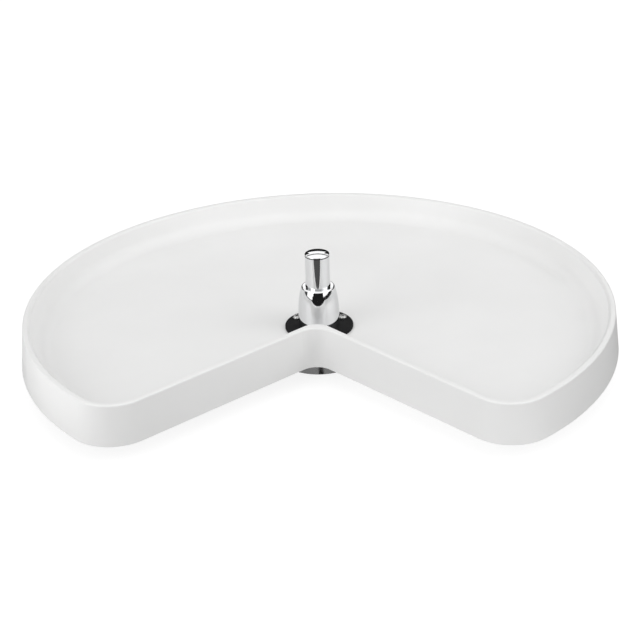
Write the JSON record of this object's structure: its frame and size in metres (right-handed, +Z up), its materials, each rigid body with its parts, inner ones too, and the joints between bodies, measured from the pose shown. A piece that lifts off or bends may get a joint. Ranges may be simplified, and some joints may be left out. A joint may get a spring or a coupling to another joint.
{
  "type": "lazy susan turntable",
  "caption": "Kidney-shaped cabinet lazy susan shelf with a raised rim, clamped by a twist collar on a capped post that turns on a floor-mounted thrust bearing.",
  "frame": {"origin": "hub axis at the base plate's underside, on the cabinet floor", "axes": "+Z up the post; the notch opens towards -Y; +X to the right when facing the notch"},
  "size_m": [0.6176, 0.5362, 0.12],
  "materials": {
    "white_polymer": "satin moulded",
    "black_nylon": "satin moulded",
    "grey_nylon": "satin moulded",
    "white_acetal": "satin moulded",
    "chrome": "mirror",
    "screw_steel": "zinc plated",
    "base_steel": "zinc plated",
    "bearing_steel": "ground",
    "cover_steel": "satin plated"
  },
  "bodies": {
    "base": {"base_plate": "base_steel", "spindle": "bearing_steel", "lower_race": "bearing_steel", "thrust_washer": "white_acetal", "retaining_ring": "bearing_steel"},
    "cage": {"ball_cage": "white_acetal", "bearing_balls": "bearing_steel"},
    "post": {"post_tube": "chrome", "post_cap": "chrome", "upper_bush": "white_acetal", "post_foot": "grey_nylon", "foot_screw": "screw_steel", "upper_race": "bearing_steel", "bearing_cover": "cover_steel"},
    "shelf": {"tray": "white_polymer", "hub_flange": "black_nylon", "shelf_screws": "screw_steel", "clamp_ring": "black_nylon", "shelf_nuts": "screw_steel", "clamp_sleeve": "white_acetal"},
    "collar": {"lock_collar": "chrome", "collar_nut": "grey_nylon"}
  },
  "joints": [
    {"name": "turntable_spin", "type": "hinge", "parent": "base", "child": "post", "pos_m": [0, 0, 0], "axis": [0, 0, 1], "continuous": true},
    {"name": "cage_spin", "type": "hinge", "parent": "base", "child": "cage", "pos_m": [0, 0, 0], "axis": [0, 0, 1], "continuous": true},
    {"name": "shelf_height", "type": "slide", "parent": "post", "child": "shelf", "axis": [0, 0, 1], "range_m": [0, 0.03]},
    {"name": "collar_twist", "type": "hinge", "parent": "shelf", "child": "collar", "pos_m": [0, 0, 0], "axis": [0, 0, 1], "range_deg": [0, 60]}
  ],
  "couplings": [
    {"joint": "cage_spin", "follows": "turntable_spin", "ratio": 0.5}
  ]
}
